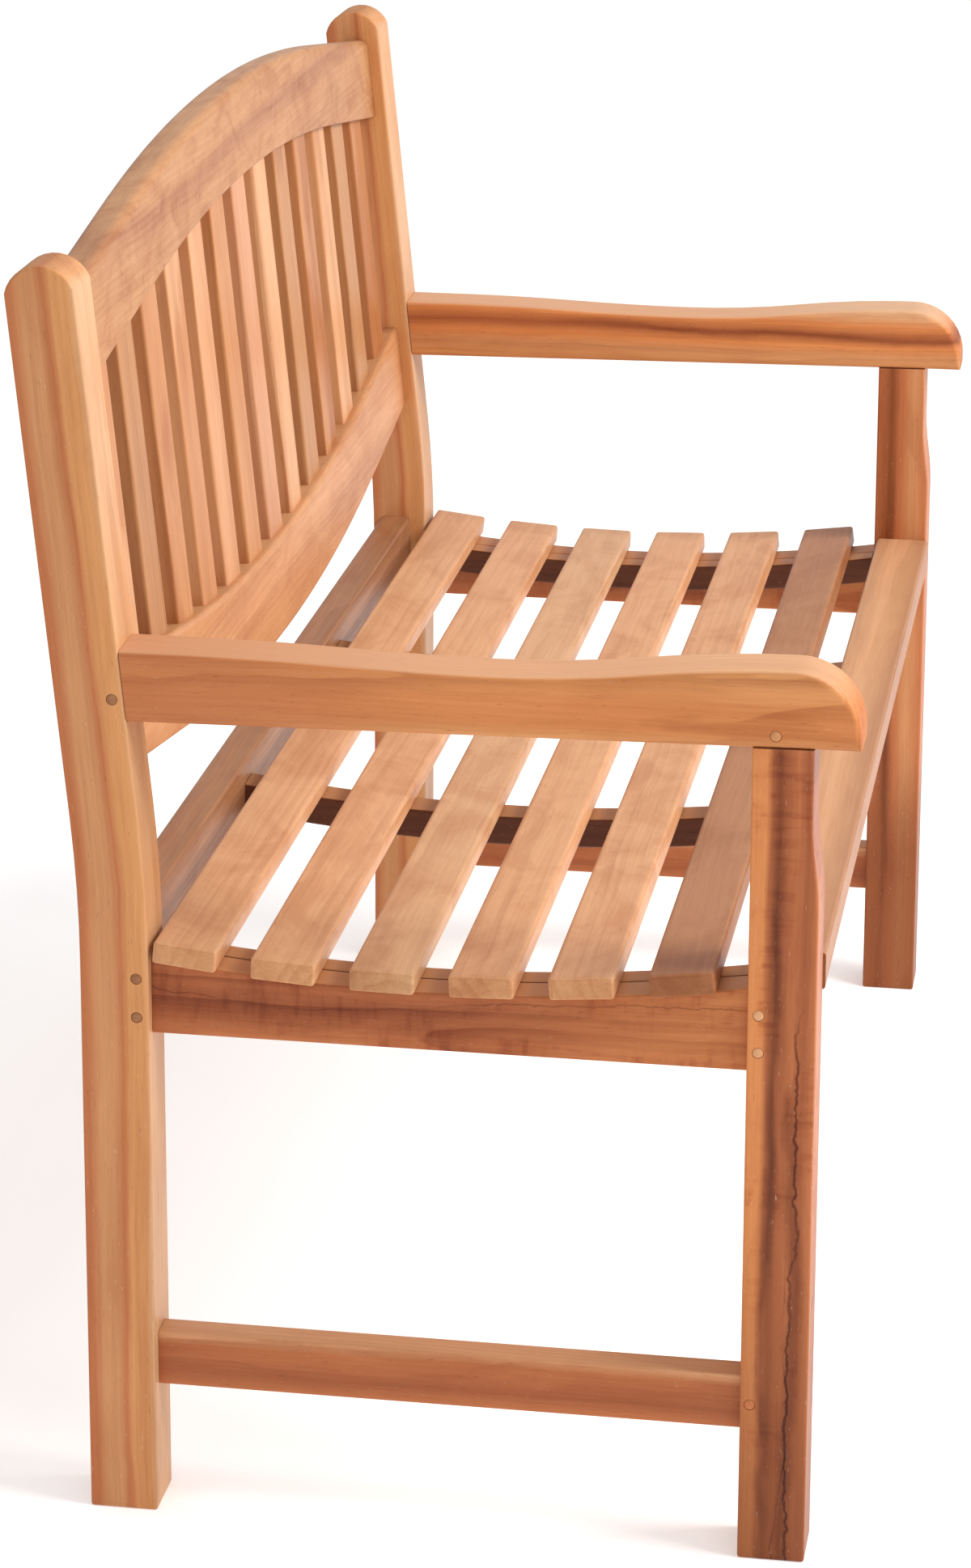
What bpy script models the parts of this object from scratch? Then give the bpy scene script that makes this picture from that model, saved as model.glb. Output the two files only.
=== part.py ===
"""Two-seat garden bench in solid teak, pegged mortise and tenon joints.

Metres, +Z up. The bench faces -Y, its length runs along X, and it stands on Z = 0.
"right" is the sitter's right, the -X end. Seen from the side, Y is measured here from
the front face of the front legs (depth) and shifted at the end by Y_SHIFT.
"""

import math

import bmesh
import bpy
from mathutils import Matrix, Vector

# ---- overall sizes
BENCH_LENGTH = 1.200  # over the outer faces of the legs
LEG_HEIGHT = 0.940  # crown of the rear legs
LEG_SPAN = 0.480  # front face of the front legs to front face of the rear legs
LEG_THICK = 0.048  # all legs, along X
FRONT_LEG_DEPTH = 0.0487
REAR_LEG_DEPTH = 0.0505

# ---- rear leg
LEAN = math.radians(5.8)  # how far the back leans
BEND_ABOVE_SEAT = 0.034  # where the two straight halves of the front face would cross
BEND_RADIUS = 1.100
CROWN_EASE = 0.00125  # the crown's radius is this much over half the depth

# ---- front leg
RELIEF = 0.0055  # the upper part is this much shallower, taken off the front
RELIEF_BELOW_ARM = 0.0528
RELIEF_SWEEP = 0.066  # height over which it fades in

# ---- armrest
ARM_UNDERSIDE = 0.6188  # at the front legs
ARM_FALL = 0.0063  # the underside drops by this to the rear legs
ARM_NOSE_OVERHANG = 0.027
ARM_NOSE_RADIUS = 0.0468
ARM_CREST_THICK = 0.055
ARM_DIP_THICK = 0.0412
ARM_DIP_AT = 0.235
ARM_REAR_RISE = 0.0048
ARM_REAR_LEVEL = 0.030  # length of the level top ahead of the rear leg

# ---- seat
SEAT_TOP = 0.453  # top of the front and rear rails
DISH_RADIUS = 1.500  # curve of the rail tops, seen from the side
DISH_DEPTH = 0.0338
DISH_AT = 0.282
SIDE_RAIL_THICK = 0.028
SIDE_RAIL_HEIGHT = 0.0444  # at the bottom of the dish
BATTEN_THICK = 0.022
BEARER_DEPTH = 0.024
BEARER_WIDTH = 0.030
BEARER_AT = 0.188
SLAT_WIDTH = 0.047
SLAT_THICK = 0.017
SLAT_COUNT = 6
SLAT_REAR_GAP = 0.002  # last slat to the rear legs
SLAT_FRONT_GAP = 0.0245  # first slat to the front rail
FRONT_RAIL_PROUD = 0.002
FRONT_RAIL_DEPTH = 0.048
FRONT_RAIL_HEIGHT = 0.028
REAR_RAIL_SETBACK = 0.0145  # behind the rear legs' front faces
REAR_RAIL_THICK = 0.028
REAR_RAIL_HEIGHT = 0.060
BATTEN_CLEARANCE = 0.0012

# ---- lower side stretchers
STRETCHER_THICK = 0.024
STRETCHER_BOTTOM = 0.097
STRETCHER_HEIGHT = 0.042

# ---- back, measured up the lean from BEND_HEIGHT
BACK_RAIL_THICK = 0.028
ARCH_RISE = 0.05124  # of both back rails, from mid-length to the shoulders
ARCH_STRAIGHT = 0.370  # a circle up to here, then straight
CREST_BELOW_PEAK = 0.0494  # lower edge of the crest rail under the peak of the rear legs
CREST_HEIGHT = 0.0735
LOWER_RAIL_TOP = 0.1035
LOWER_RAIL_HEIGHT = 0.075
BACK_SLAT_COUNT = 13
BACK_SLAT_END_GAP = 0.0365  # between the outer slats and the rear legs
BACK_SLAT_WIDTH = 0.047
BACK_SLAT_THICK = 0.013
BACK_SLAT_SUNK = 0.014

# ---- joints
GAP = 0.0003  # shoulder and tenon clearance
TENON_THICK = 0.016
TENON_LENGTH = 0.028
SHORT_TENON = 0.0185  # side rail into rear leg, stopping ahead of the rear rail's tenon
REAR_RAIL_TENON_SETBACK = 0.0075
FRONT_RAIL_TENON_DEPTH = 0.026
STRETCHER_TENON_THICK = 0.014
STRETCHER_SHOULDER = 0.006  # above and below its tenon
LEG_TENON_THICK = 0.020
LEG_TENON_ROOT = 0.010  # how far it is drawn down into the leg it grows from
LEG_TENON_LENGTH = 0.032
LEG_TENON_WIDTH = 0.024
LEG_TENON_FRONT = 0.014
STUB_TENON = 0.012
STUB_SHOULDER = 0.004
STUB_FRONT_SHOULDER = 0.002
SIDE_TENON = (0.0102, 0.0435)  # (its foot above the rail's lower edge, height), as those below
REAR_TENON = (0.008, 0.043)
FRONT_TENON = (0.0075, 0.0155)
LOWER_TENON = (0.0103, 0.036)
CREST_TENON = (0.00675, 0.048)
ARM_TENON = (0.0012, 0.035)
ARM_TENON_REACH = 0.024
PEG_RADIUS = 0.004
PEG_LENGTH = 0.036
PEG_CLEARANCE = 0.0002
PEG_SIDES = 24
PEG_BESIDE_TENON = 0.002  # a peg driven from behind passes the side tenons by this
ARM_REAR_PEG = (0.0095, 0.0102)  # (behind the rear leg's front face, above the underside)
ARM_FRONT_PEG = (0.0162, 0.0087)  # (from the rear face of the front leg, above the underside)
RAIL_REAR_PEGS = (0.009, 0.0345, 0.0050)  # (from the shoulder, upper and lower above the tenon's foot)
RAIL_FRONT_PEGS = (0.008, 0.0360, 0.0080)
STRETCHER_PEG = (0.007, 0.0250)  # (from the shoulder, above the lower edge)

# ---- edges
EDGE_SOFT = 0.0018  # legs and rails
EDGE_SLAT = 0.0028
EDGE_ARM = 0.004
EDGE_CREST = 0.007  # along the top of the crest rail
SHARP_ANGLE = math.radians(35)
FINE_STEPS = 3
CREST_STEPS = 4
ARC_STEPS = 24
BEND_STEPS = 4
CROWN_STEPS = 12
EASE_STEPS = 6
NOSE_STEPS = 10
SWEEP_STEPS = 8

HALF = BENCH_LENGTH / 2
INNER = HALF - LEG_THICK
LEG_MID = HALF - LEG_THICK / 2
SIN, COS = math.sin(LEAN), math.cos(LEAN)
BEND_HEIGHT = SEAT_TOP + BEND_ABOVE_SEAT
PEAK = (LEG_HEIGHT - BEND_HEIGHT + REAR_LEG_DEPTH / 2 * SIN) / COS  # up the lean
CREST_LOW = PEAK - CREST_BELOW_PEAK
ARCH_RADIUS = ARCH_STRAIGHT * (INNER - ARCH_STRAIGHT / 2) / ARCH_RISE
REAR_PEG_X = LEG_MID - TENON_THICK / 2 - PEG_BESIDE_TENON - PEG_RADIUS
DISH_LOW = SEAT_TOP - DISH_DEPTH
SIDE_RAIL_BOTTOM = DISH_LOW - SIDE_RAIL_HEIGHT
REAR_RAIL_FRONT = LEG_SPAN + REAR_RAIL_SETBACK
FRONT_RAIL_REAR = FRONT_RAIL_DEPTH - FRONT_RAIL_PROUD
SLAT_REAR_EDGE = LEG_SPAN - SLAT_REAR_GAP
SLAT_PITCH = (SLAT_REAR_EDGE - SLAT_WIDTH - FRONT_RAIL_REAR - SLAT_FRONT_GAP) / (SLAT_COUNT - 1)
BACK_SLAT_PITCH = (2 * (INNER - BACK_SLAT_END_GAP) - BACK_SLAT_WIDTH) / (BACK_SLAT_COUNT - 1)
ARM_CREST = ARM_UNDERSIDE + ARM_CREST_THICK
ARM_DIP = ARM_UNDERSIDE + ARM_DIP_THICK
ARM_REAR_AT = LEG_SPAN - ARM_REAR_LEVEL
RIGHT, LEFT = -1, 1
SIDES = (("right", RIGHT), ("left", LEFT))


def on_back(up, behind):
    """(depth, height) of a point `up` the lean and `behind` the legs' front face."""
    return (LEG_SPAN + up * SIN + behind * COS, BEND_HEIGHT + up * COS - behind * SIN)


def dish(depth):
    return DISH_LOW + (depth - DISH_AT) ** 2 / (2 * DISH_RADIUS)


def spread(low, high, steps):
    return [low + (high - low) * i / steps for i in range(steps + 1)]


def arc(centre, radius, start, end, steps):
    return [
        (centre[0] + radius * math.cos(a), centre[1] + radius * math.sin(a))
        for a in spread(math.radians(start), math.radians(end), steps)
    ]


def rear_leg_outline():
    """Counter-clockwise in (depth, height), from the foot's front corner."""
    foot = [(LEG_SPAN, 0.0), (LEG_SPAN + REAR_LEG_DEPTH, 0.0)]
    start = BEND_HEIGHT - BEND_RADIUS * math.tan(LEAN / 2)
    middle = (LEG_SPAN + BEND_RADIUS, start)
    lean = math.degrees(LEAN)
    rear = arc(middle, BEND_RADIUS - REAR_LEG_DEPTH, 180, 180 - lean, BEND_STEPS)
    front = arc(middle, BEND_RADIUS, 180 - lean, 180, BEND_STEPS)
    half = REAR_LEG_DEPTH / 2
    radius = half + CROWN_EASE
    sweep = math.degrees(math.asin(half / radius))
    crown = arc((half, PEAK - radius), radius, 90 - sweep, 90 + sweep, CROWN_STEPS)
    return foot + rear + [on_back(up, behind) for behind, up in crown] + front


Y_SHIFT = -(max(p[0] for p in rear_leg_outline()) - ARM_NOSE_OVERHANG) / 2


def front_leg_outline():
    top = ARM_UNDERSIDE - GAP
    start = ARM_UNDERSIDE - RELIEF_BELOW_ARM - RELIEF_SWEEP
    ease = [
        (RELIEF * (1 - math.cos(math.pi * t)) / 2, start + RELIEF_SWEEP * t)
        for t in spread(1, 0, EASE_STEPS)
    ]
    back = [(FRONT_LEG_DEPTH, 0.0), (FRONT_LEG_DEPTH, top - arm_drop(FRONT_LEG_DEPTH))]
    return [(0.0, 0.0)] + back + [(RELIEF, top)] + ease


def arm_drop(depth):
    """How far the level-looking underside has fallen at this depth."""
    return ARM_FALL * max(depth, 0.0) / LEG_SPAN


def arm_top():
    """Nose, crest, dip and rear rise, from the rear end forwards."""
    nose = (ARM_NOSE_RADIUS - ARM_NOSE_OVERHANG, ARM_CREST - ARM_NOSE_RADIUS)

    def ogee(depth, low_at, high_at, rise):
        t = (depth - low_at) / (high_at - low_at)
        return ARM_DIP + rise * (2 * t * t if t < 0.5 else 1 - 2 * (1 - t) ** 2)

    def sweep(start, end, high_at, rise):
        return [(d, ogee(d, ARM_DIP_AT, high_at, rise)) for d in spread(start, end, SWEEP_STEPS)]

    rear = sweep(ARM_REAR_AT, ARM_DIP_AT, ARM_REAR_AT, ARM_REAR_RISE)
    fore = sweep(ARM_DIP_AT, nose[0], nose[0], ARM_CREST - ARM_DIP)
    return rear + fore[1:] + arc(nose, ARM_NOSE_RADIUS, 90, 180, NOSE_STEPS)[1:]


def leg_front_at(height):
    return LEG_SPAN + (height - BEND_HEIGHT) * math.tan(LEAN)


def arm_outline():
    high = ARM_DIP + ARM_REAR_RISE
    under = [(-ARM_NOSE_OVERHANG, ARM_UNDERSIDE), (0.0, ARM_UNDERSIDE)]
    rear = [(leg_front_at(z) - GAP / COS, z) for z in (ARM_UNDERSIDE - ARM_FALL, high)]
    return under + rear + arm_top()


def dished_bar(start, end, bottom):
    """A bar under the slats: dished on top, `bottom(depth)` below."""
    top = [(d, dish(d)) for d in spread(end, start, ARC_STEPS)]
    flat = bottom(start) == bottom(end) == bottom((start + end) / 2)
    low = [(d, bottom(d)) for d in spread(start, end, 1 if flat else ARC_STEPS)]
    return low + top


def sag(x):
    """How far the back rails' curve has left its crown at x: a circle, then straight."""
    bent = min(abs(x), ARCH_STRAIGHT)
    return (bent * bent / 2 + (abs(x) - bent) * ARCH_STRAIGHT) / ARCH_RADIUS


def arched(low, high, half, sign):
    """Board between two parallel curves in (x, up); sign -1 arches up, +1 sags."""
    bottom = [(x, low + sign * sag(x)) for x in spread(-half, half, ARC_STEPS)]
    return bottom + [(x, high + sign * sag(x)) for x in spread(half, -half, ARC_STEPS)]


# ---- mesh helpers
def mesh_of(name, bm):
    bmesh.ops.recalc_face_normals(bm, faces=bm.faces)
    mesh = bpy.data.meshes.new(name)
    bm.to_mesh(mesh)
    bm.free()
    return mesh


def prism(outline, low, high, to_point):
    """Extrudes an outline; to_point(a, b, c) maps outline and extrusion to (x, y, z)."""
    bm = bmesh.new()
    rings = [[bm.verts.new(to_point(a, b, c)) for a, b in outline] for c in (low, high)]
    bm.faces.new(rings[0])
    bm.faces.new(rings[1])
    count = len(outline)
    for i in range(count):
        j = (i + 1) % count
        bm.faces.new((rings[0][i], rings[0][j], rings[1][j], rings[1][i]))
    bmesh.ops.recalc_face_normals(bm, faces=bm.faces)
    return bm


def side_prism(outline, x_low, x_high):
    return prism(outline, x_low, x_high, lambda a, b, c: (c, a + Y_SHIFT, b))


def back_prism(outline, low, high):
    return prism(outline, low, high, lambda a, b, c: (a, c, b))


def block(bm, low, high):
    corners = [Vector(low), Vector(high)]
    box = bmesh.ops.create_cube(bm, size=1.0)["verts"]
    for vert in box:
        vert.co = [corners[vert.co[i] > 0][i] for i in range(3)]


def blocks(pairs):
    bm = bmesh.new()
    for low, high in pairs:
        block(bm, low, high)
    return bm


def soften(bm, width, wanted, segments=2):
    """Rounds the sharp edges that wanted(edge midpoint, edge direction) accepts."""

    def accepted(edge):
        a, b = (vert.co for vert in edge.verts)
        return edge.calc_face_angle(0.0) > SHARP_ANGLE and wanted((a + b) / 2, (b - a).normalized())

    edges = [edge for edge in bm.edges if accepted(edge)]
    bmesh.ops.bevel(
        bm,
        geom=edges,
        offset=width,
        segments=segments,
        profile=0.5,
        affect="EDGES",
        clamp_overlap=True,
    )
    return bm


def rod(radius, low, high, along):
    """A peg or its bore: a cylinder along X or Y from low to high."""
    bm = bmesh.new()
    bmesh.ops.create_cone(
        bm, cap_ends=True, segments=PEG_SIDES, radius1=radius, radius2=radius, depth=high - low
    )
    turn = Matrix.Rotation(math.pi / 2, 4, "Y" if along == "X" else "X")
    middle = (low + high) / 2
    shift = (middle, 0, 0) if along == "X" else (0, middle, 0)
    bmesh.ops.transform(bm, matrix=Matrix.Translation(shift) @ turn, verts=bm.verts)
    return bm


def merged(parts):
    """Several (bmesh, offset) in one bmesh."""
    out = bmesh.new()
    for bm, offset in parts:
        bmesh.ops.translate(bm, vec=offset, verts=bm.verts)
        mesh = mesh_of("scratch", bm)
        out.from_mesh(mesh)
        bpy.data.meshes.remove(mesh)
    return out


# ---- objects
for old in list(bpy.data.objects):
    bpy.data.objects.remove(old, do_unlink=True)


def place(obj, frame):
    if frame == "back":
        obj.location = (0, LEG_SPAN + Y_SHIFT, BEND_HEIGHT)
        obj.rotation_euler = (-LEAN, 0, 0)


def helper(name, bm, frame):
    obj = bpy.data.objects.new(name, mesh_of(name, bm))
    bpy.context.scene.collection.objects.link(obj)
    obj.hide_render = True
    obj.display_type = "WIRE"
    place(obj, frame)
    return obj


def teak(name, colour):
    material = bpy.data.materials.new(name)
    material.use_nodes = True
    shader = material.node_tree.nodes["Principled BSDF"]
    shader.inputs["Base Color"].default_value = (*colour, 1.0)
    shader.inputs["Roughness"].default_value = 0.55
    return material


def node(name, bm, colour, frame="bench", joins=(), cuts=()):
    """A visible part: the body, then what is joined on, then what is cut away."""
    obj = bpy.data.objects.new(name, mesh_of(name, bm))
    bpy.context.scene.collection.objects.link(obj)
    place(obj, frame)
    obj.data.shade_smooth()
    obj.data.set_sharp_from_angle(angle=SHARP_ANGLE)
    obj.data.materials.append(teak(name, colour))
    steps = [("UNION", *item) for item in joins] + [("DIFFERENCE", *item) for item in cuts]
    for i, (operation, shape, shape_frame) in enumerate(steps):
        modifier = obj.modifiers.new(f"{operation.lower()}_{i}", "BOOLEAN")
        modifier.operation = operation
        modifier.solver = "EXACT"
        modifier.object = helper(f"{name}_{operation.lower()}_{i}", shape, shape_frame)
    return obj


def grown(pair):
    """A mortise for a tenon box, with the joint's clearance all round."""
    low, high = pair
    return (tuple(v - GAP for v in low), tuple(v + GAP for v in high))


def xbox(side, x_low, x_high, y, z):
    """A box given by distances from mid-length outwards, on one side of the bench."""
    xs = sorted((side * x_low, side * x_high))
    return ((xs[0], y[0], z[0]), (xs[1], y[1], z[1]))


def bench_y(low, high):
    return (low + Y_SHIFT, high + Y_SHIFT)


# ---- colours, linear
GOLDEN = (0.50, 0.235, 0.085)
RED_BROWN = (0.36, 0.135, 0.050)
ORANGE = (0.47, 0.195, 0.070)
TAN = (0.52, 0.260, 0.120)
GREY_BROWN = (0.26, 0.130, 0.065)
PALE = (0.58, 0.330, 0.160)

OVER = 0.004  # how far joined boxes and cutters run past a face


def tenon_span(foot, tenon):
    """(low, high) of a tenon in a board whose lower edge is at foot."""
    return (foot + tenon[0], foot + tenon[0] + tenon[1])


STRETCHER_TOP = STRETCHER_BOTTOM + STRETCHER_HEIGHT
SIDE_TENON_Z = tenon_span(SIDE_RAIL_BOTTOM, SIDE_TENON)
REAR_TENON_Z = tenon_span(SEAT_TOP - REAR_RAIL_HEIGHT, REAR_TENON)
FRONT_TENON_Z = tenon_span(SEAT_TOP - FRONT_RAIL_HEIGHT, FRONT_TENON)
ARM_TENON_Z = tenon_span(ARM_UNDERSIDE, ARM_TENON)
LOWER_RAIL_LOW = LOWER_RAIL_TOP - LOWER_RAIL_HEIGHT
LOWER_TENON_UP = tenon_span(LOWER_RAIL_LOW + sag(INNER), LOWER_TENON)
CREST_TENON_UP = tenon_span(CREST_LOW - sag(INNER), CREST_TENON)


def centre(span):
    return (span[0] + span[1]) / 2


def around(middle, size):
    return (middle - size / 2, middle + size / 2)


def oblong(depths, heights):
    (front, rear), (low, high) = depths, heights
    return [(front, low), (rear, low), (rear, high), (front, high)]


for label, side in SIDES:
    tenon = around(LEG_MID, TENON_THICK)
    thin = around(LEG_MID, STRETCHER_TENON_THICK)
    stretch_z = (STRETCHER_BOTTOM + STRETCHER_SHOULDER, STRETCHER_TOP - STRETCHER_SHOULDER)
    front_face, rear_face = FRONT_LEG_DEPTH, LEG_SPAN
    fore = (front_face - TENON_LENGTH, front_face + OVER)
    rear = (rear_face - OVER, rear_face + SHORT_TENON)
    deep = (rear_face - OVER, rear_face + TENON_LENGTH)
    in_leg = (INNER - OVER, INNER + TENON_LENGTH)

    rail_tenon_fore = xbox(side, *tenon, bench_y(*fore), SIDE_TENON_Z)
    rail_tenon_rear = xbox(side, *tenon, bench_y(*rear), SIDE_TENON_Z)
    stretch_fore = xbox(side, *thin, bench_y(*fore), stretch_z)
    stretch_rear = xbox(side, *thin, bench_y(*deep), stretch_z)
    arm_front = leg_front_at(ARM_TENON_Z[0])
    arm_y = bench_y(arm_front - 2 * OVER, arm_front + ARM_TENON_REACH)
    arm_rear = xbox(side, *tenon, arm_y, ARM_TENON_Z)
    leg_tenon = xbox(
        side,
        *around(LEG_MID, LEG_TENON_THICK),
        bench_y(LEG_TENON_FRONT, LEG_TENON_FRONT + LEG_TENON_WIDTH),
        (ARM_UNDERSIDE - LEG_TENON_ROOT, ARM_UNDERSIDE + LEG_TENON_LENGTH),
    )
    front_rail_y = around(FRONT_LEG_DEPTH / 2, FRONT_RAIL_TENON_DEPTH)
    front_rail_tenon = xbox(side, *in_leg, bench_y(*front_rail_y), FRONT_TENON_Z)
    setback = REAR_RAIL_FRONT + REAR_RAIL_TENON_SETBACK
    rear_rail_y = (setback, setback + TENON_THICK)
    rear_rail_tenon = xbox(side, *in_leg, bench_y(*rear_rail_y), REAR_TENON_Z)
    back_y = around(REAR_LEG_DEPTH / 2, TENON_THICK)
    back_tenons = [xbox(side, *in_leg, back_y, up) for up in (LOWER_TENON_UP, CREST_TENON_UP)]

    # pegs driven in from the side: (depth, height)
    foot = SIDE_TENON_Z[0]
    rail_rear = (LEG_SPAN + RAIL_REAR_PEGS[0], foot + RAIL_REAR_PEGS[1], foot + RAIL_REAR_PEGS[2])
    rail_fore = (front_face - RAIL_FRONT_PEGS[0], foot + RAIL_FRONT_PEGS[1], foot + RAIL_FRONT_PEGS[2])
    side_pegs = {
        "peg_arm_rear": (arm_front + ARM_REAR_PEG[0], ARM_UNDERSIDE + ARM_REAR_PEG[1]),
        "peg_arm_front": (front_face - ARM_FRONT_PEG[0], ARM_UNDERSIDE + ARM_FRONT_PEG[1]),
        "peg_rail_rear_upper": (rail_rear[0], rail_rear[1]),
        "peg_rail_rear_lower": (rail_rear[0], rail_rear[2]),
        "peg_rail_front_upper": (rail_fore[0], rail_fore[1]),
        "peg_rail_front_lower": (rail_fore[0], rail_fore[2]),
        "peg_stretcher_front": (front_face - STRETCHER_PEG[0], STRETCHER_BOTTOM + STRETCHER_PEG[1]),
    }
    # pegs driven in from behind: (distance from mid-length, up the lean)
    back_pegs = {
        "peg_back_lower": (REAR_PEG_X, centre(LOWER_TENON_UP)),
        "peg_back_crest": (REAR_PEG_X, centre(CREST_TENON_UP)),
    }
    seat_peg = (REAR_PEG_X, centre(REAR_TENON_Z))

    def peg_at(depth, height, radius, reach, over, side=side):
        low, high = sorted((side * (HALF - reach), side * (HALF + over)))
        return (rod(radius, low, high, "X"), (0, depth + Y_SHIFT, height))

    def back_peg_at(x, up, radius, reach, over, side=side):
        shape = rod(radius, REAR_LEG_DEPTH - reach, REAR_LEG_DEPTH + over, "Y")
        return (shape, (side * x, 0, up))

    def rear_peg_at(x, height, radius, reach, over, side=side):
        face = LEG_SPAN + REAR_LEG_DEPTH + Y_SHIFT
        return (rod(radius, face - reach, face + over, "Y"), (side * x, 0, height))

    bore = PEG_RADIUS + PEG_CLEARANCE
    bore_reach = PEG_LENGTH + GAP

    def bores(names, side_pegs=side_pegs, peg_at=peg_at):
        return merged([peg_at(*side_pegs[n], bore, bore_reach, OVER) for n in names])

    flush = (PEG_RADIUS, PEG_LENGTH, 0.0)
    bored = (bore, bore_reach, OVER)
    for name, where in side_pegs.items():
        colour = GREY_BROWN if "rail_rear" in name else PALE
        node(f"{name}_{label}", merged([peg_at(*where, *flush)]), colour)
    for name, where in back_pegs.items():
        node(f"{name}_{label}", merged([back_peg_at(*where, *flush)]), PALE, "back")
    node(f"peg_seat_rear_{label}", merged([rear_peg_at(*seat_peg, *flush)]), PALE)

    back_bores = merged([back_peg_at(*where, *bored) for where in back_pegs.values()])
    rear_bore = merged([rear_peg_at(*seat_peg, *bored)])

    # rear leg
    outer, inner = sorted((side * INNER, side * HALF))
    leg = side_prism(rear_leg_outline(), outer, inner)
    soften(leg, EDGE_SOFT, lambda m, d: abs(d.x) < 0.5 or m.z < OVER)
    node(
        f"rear_leg_{label}",
        leg,
        GOLDEN,
        cuts=[
            (blocks([grown(t) for t in (rail_tenon_rear, stretch_rear, rear_rail_tenon, arm_rear)]), "bench"),
            (blocks([grown(t) for t in back_tenons]), "back"),
            (bores([n for n in side_pegs if n.endswith("arm_rear") or "rail_rear" in n]), "bench"),
            (back_bores, "back"),
            (rear_bore, "bench"),
        ],
    )

    # front leg
    leg = side_prism(front_leg_outline(), outer, inner)
    soften(leg, EDGE_SOFT, lambda m, d: (abs(d.x) < 0.5 and m.z < ARM_UNDERSIDE - ARM_FALL) or m.z < OVER)
    node(
        f"front_leg_{label}",
        leg,
        RED_BROWN,
        joins=[(blocks([leg_tenon]), "bench")],
        cuts=[
            (blocks([grown(t) for t in (rail_tenon_fore, stretch_fore, front_rail_tenon)]), "bench"),
            (bores([n for n in side_pegs if "front" in n]), "bench"),
        ],
    )

    # armrest
    shoulder = leg_front_at(ARM_UNDERSIDE - ARM_FALL) + Y_SHIFT - OVER
    arm = side_prism(arm_outline(), outer, inner)
    soften(arm, EDGE_ARM, lambda m, d: abs(d.x) < 0.5 and m.y < shoulder, FINE_STEPS)
    node(
        f"armrest_{label}",
        arm,
        ORANGE,
        joins=[(blocks([arm_rear]), "bench")],
        cuts=[
            (blocks([grown(leg_tenon)]), "bench"),
            (bores(["peg_arm_front", "peg_arm_rear"]), "bench"),
        ],
    )

    # side seat rail and the batten behind it
    rail_x = around(LEG_MID, SIDE_RAIL_THICK)
    ends = (front_face + GAP, rear_face - GAP)
    outline = dished_bar(*ends, lambda d: SIDE_RAIL_BOTTOM)
    rail = side_prism(outline, *sorted(side * x for x in rail_x))
    soften(rail, EDGE_SOFT, lambda m, d: abs(d.y) > 0.5)
    node(
        f"side_rail_{label}",
        rail,
        RED_BROWN,
        joins=[(blocks([rail_tenon_fore, rail_tenon_rear]), "bench")],
        cuts=[(bores([n for n in side_pegs if "peg_rail" in n]), "bench")],
    )
    batten_x = (rail_x[0] - GAP - BATTEN_THICK, rail_x[0] - GAP)
    batten_front = max(front_face, FRONT_RAIL_REAR) + BATTEN_CLEARANCE
    batten = side_prism(
        dished_bar(batten_front, rear_face - BATTEN_CLEARANCE, lambda d: dish(d) - BEARER_DEPTH),
        *sorted(side * x for x in batten_x),
    )
    soften(batten, EDGE_SOFT, lambda m, d: abs(d.y) > 0.5)
    node(f"side_batten_{label}", batten, ORANGE)

    # lower stretcher
    outline = oblong(ends, (STRETCHER_BOTTOM, STRETCHER_TOP))
    stretch_x = around(LEG_MID, STRETCHER_THICK)
    stretcher = side_prism(outline, *sorted(side * x for x in stretch_x))
    soften(stretcher, EDGE_SOFT, lambda m, d: abs(d.y) > 0.5)
    node(
        f"side_stretcher_{label}",
        stretcher,
        RED_BROWN,
        joins=[(blocks([stretch_fore, stretch_rear]), "bench")],
        cuts=[(bores(["peg_stretcher_front"]), "bench")],
    )

# ---- seat frame: front and rear rails with bearers between
front_rail = (-FRONT_RAIL_PROUD, FRONT_RAIL_REAR)
rear_rail = (REAR_RAIL_FRONT, REAR_RAIL_FRONT + REAR_RAIL_THICK)
bearer_front, bearer_rear = front_rail[1] + GAP, rear_rail[0] - GAP


def bearer_tenons(side):
    x = around(BEARER_AT, BEARER_WIDTH - 2 * STUB_SHOULDER)
    fore_z = (
        SEAT_TOP - FRONT_RAIL_HEIGHT + STUB_FRONT_SHOULDER,
        dish(bearer_front) - STUB_FRONT_SHOULDER,
    )
    rear_z = (
        dish(bearer_rear) - BEARER_DEPTH + STUB_SHOULDER,
        dish(bearer_rear) - STUB_SHOULDER,
    )
    return (
        xbox(side, *x, bench_y(bearer_front - STUB_TENON, bearer_front + OVER), fore_z),
        xbox(side, *x, bench_y(bearer_rear - OVER, bearer_rear + STUB_TENON), rear_z),
    )


for label, side in SIDES:
    outline = dished_bar(bearer_front, bearer_rear, lambda d: dish(d) - BEARER_DEPTH)
    bearer = side_prism(outline, *sorted(side * x for x in around(BEARER_AT, BEARER_WIDTH)))
    soften(bearer, EDGE_SOFT, lambda m, d: abs(d.y) > 0.5)
    stubs = (blocks(bearer_tenons(side)), "bench")
    node(f"seat_bearer_{label}", bearer, ORANGE, joins=[stubs])


def cross_rail(name, depths, heights, tenon_y, tenon_z, mortises, colour, cut_bores=()):
    reach = INNER - GAP
    rail = side_prism(oblong(depths, heights), -reach, reach)
    soften(rail, EDGE_SLAT, lambda m, d: abs(d.x) > 0.5, FINE_STEPS)
    span = (reach - OVER, INNER + TENON_LENGTH - GAP)
    tenons = [xbox(side, *span, bench_y(*tenon_y), tenon_z) for _, side in SIDES]
    cuts = [(blocks([grown(m) for m in mortises]), "bench")] + [(b, "bench") for b in cut_bores]
    node(name, rail, colour, joins=[(blocks(tenons), "bench")], cuts=cuts)


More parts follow.
